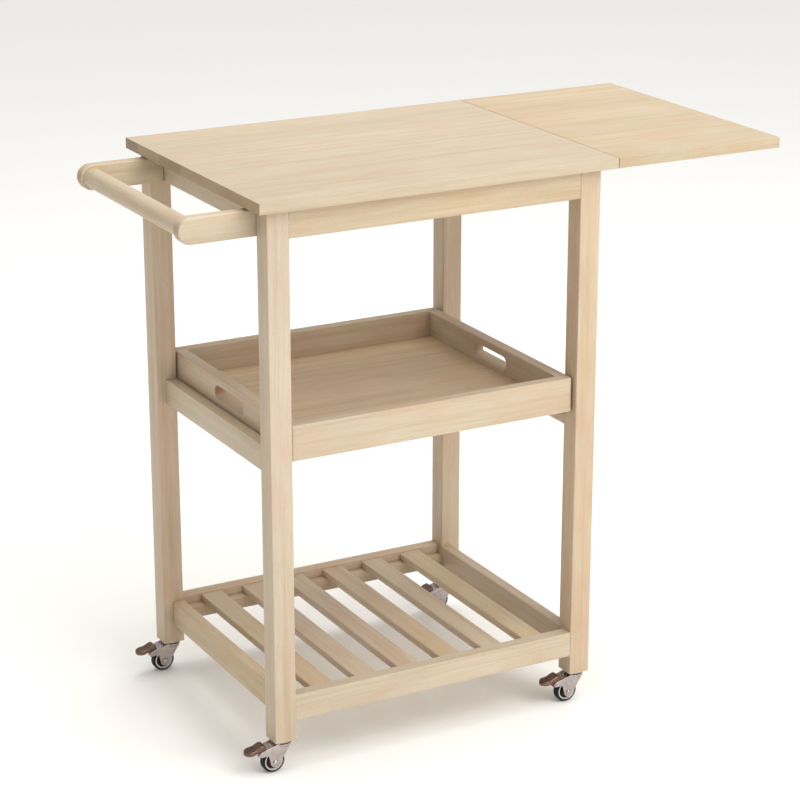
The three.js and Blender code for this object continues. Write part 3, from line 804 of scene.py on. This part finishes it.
def wireMesh(points, radius):
    curve = bpy.data.curves.new("wire", "CURVE")
    curve.dimensions = "3D"
    curve.bevel_depth = radius * mm
    curve.bevel_resolution = 2
    curve.use_fill_caps = True
    spline = curve.splines.new("POLY")
    spline.points.add(len(points) - 1)
    for point, place in zip(spline.points, points):
        point.co = (*[v * mm for v in place], 1)
    holder = bpy.data.objects.new("wire", curve)
    scene.collection.objects.link(holder)
    mesh = bpy.data.meshes.new_from_object(holder.evaluated_get(bpy.context.evaluated_depsgraph_get()))
    bpy.data.objects.remove(holder)
    bm = bmesh.new()
    bm.from_mesh(mesh)
    return finishMesh(bm, "wire", 60)


springLook = {"radius": 2.4, "wire": 0.4, "turns": 5, "steps": 16, "start": 5.2, "pitch": 0.85, "tail": 6.2}


def leverSpring():
    v = springLook
    x, z = leverLook["pivot"]
    radius, turns, steps = v["radius"], v["turns"], v["steps"]
    coil = [(x + radius * math.cos(2 * math.pi * i / steps), v["start"] + v["pitch"] * i / steps,
             z + radius * math.sin(2 * math.pi * i / steps)) for i in range(turns * steps + 1)]
    tails = [(x + radius, y, z + v["tail"]) for y in (v["start"], v["start"] + v["pitch"] * turns)]
    return wireMesh(tails[:1] + coil + tails[1:], v["wire"])


plateScrews = [(-28, -6.5), (-28, 6.5), (-19, 0)]
armScrews = [(17, -8), (17, 8), (66, -7.2), (66, 7.2), (107, 0)]
leverX, leverZ = leverLook["pivot"]
bracketPieces = {
    "plate": (leafPlate(plateScrews), "platedSteel", "frame", "hinge_plate"),
    "pin": (rivetMesh(bracket["pin"] + 0.5, 0.3, bracket["pin"] + 0.6, 11.6), "platedSteel", "frame", None),
    "arm": (leafArm(armScrews), "platedSteel", "leaf", "hinge_arm"),
    "leverRivet": (moved(rivetMesh(*rivets["lever"]), leverX, 0, leverZ), "platedSteel", "leaf", None),
    "spring": (leverSpring(), "blackenedSteel", "leaf", None),
    "lever": (lockLever(), "bronzedSteel", "lever", "lock_lever"),
}
for i, (x, y) in enumerate(plateScrews):
    bracketPieces[f"plateScrew{i + 1}"] = (screwMesh(x, y), "platedSteel", "frame", None)
for i, (x, y) in enumerate(armScrews):
    bracketPieces[f"armScrew{i + 1}"] = (screwMesh(x, y), "platedSteel", "leaf", None)
for side in ("front", "back"):
    low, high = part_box(f"{side}_hinge_plate")
    pinX = high.x / mm - bracket["knuckle"]
    pinY = (low.y + high.y) / 2 / mm
    pinZ = high.z / mm - bracket["knuckle"]
    for part, (mesh, finish, body, node) in bracketPieces.items():
        bodyName = f"{side}_lever" if body == "lever" else body
        addPiece(f"{side}_bracket.{part}", moved(mesh, pinX, pinY, pinZ), metal[finish], bodyName,
                 [f"{side}_{node}"] if node else ())
print("brackets:", 2 * len(bracketPieces), "pieces")

# Stage

floorReach = 18  # metres each way, so that no edge shows behind the cart
floorCorners = [(-floorReach, -floorReach, 0), (floorReach, -floorReach, 0), (floorReach, floorReach, 0),
                (-floorReach, floorReach, 0)]
floorMesh = bpy.data.meshes.new("studioFloor")
floorMesh.from_pydata(floorCorners, [], [(0, 1, 2, 3)])
floor = bpy.data.objects.new("studioFloor", floorMesh)
scene.collection.objects.link(floor)
floorMaterial, _, floorShader = startMaterial("paintedFloor")
floorShader.inputs["Base Color"].default_value = colour("#F8F7F3")
floorShader.inputs["Roughness"].default_value = 0.8
floorMesh.materials.append(floorMaterial)

scene.view_settings.view_transform = "Standard"
skyLight = 1.25
world = bpy.data.worlds.new("studio")
world.use_nodes = True
tree = world.node_tree
direction = addNode(tree, "ShaderNodeTexCoord")
height = addNode(tree, "ShaderNodeSeparateXYZ", links={0: direction.outputs["Generated"]})
dome = addNode(tree, "ShaderNodeValToRGB", links={"Fac": height.outputs["Z"]},
               stops=[(0.0, 0.66), (0.2, 0.62), (0.36, 0.26), (1.0, 1.0)])  # pale horizon, brightest overhead
tree.links.new(dome.outputs["Color"], tree.nodes["Background"].inputs["Color"])
tree.nodes["Background"].inputs["Strength"].default_value = skyLight
scene.world = world

softboxes = {
    "key": {"at": (1.3, -3.5, 4.2), "size": 3.2, "power": 138},
    "front": {"at": (0.5, -5.0, 1.5), "size": 2.8, "power": 50},
    "top": {"at": (0.4, 0.2, 3.4), "size": 2.6, "power": 43},
}
target = Vector((0, 0, 0.45))
for name, box in softboxes.items():
    light = bpy.data.lights.new(name, "AREA")
    light.shape = "SQUARE"
    light.size = box["size"]
    light.energy = box["power"]
    lamp = bpy.data.objects.new(name, light)
    lamp.location = box["at"]
    lamp.rotation_euler = (target - Vector(box["at"])).to_track_quat("-Z", "Y").to_euler()
    scene.collection.objects.link(lamp)
print("stage and lights ready")
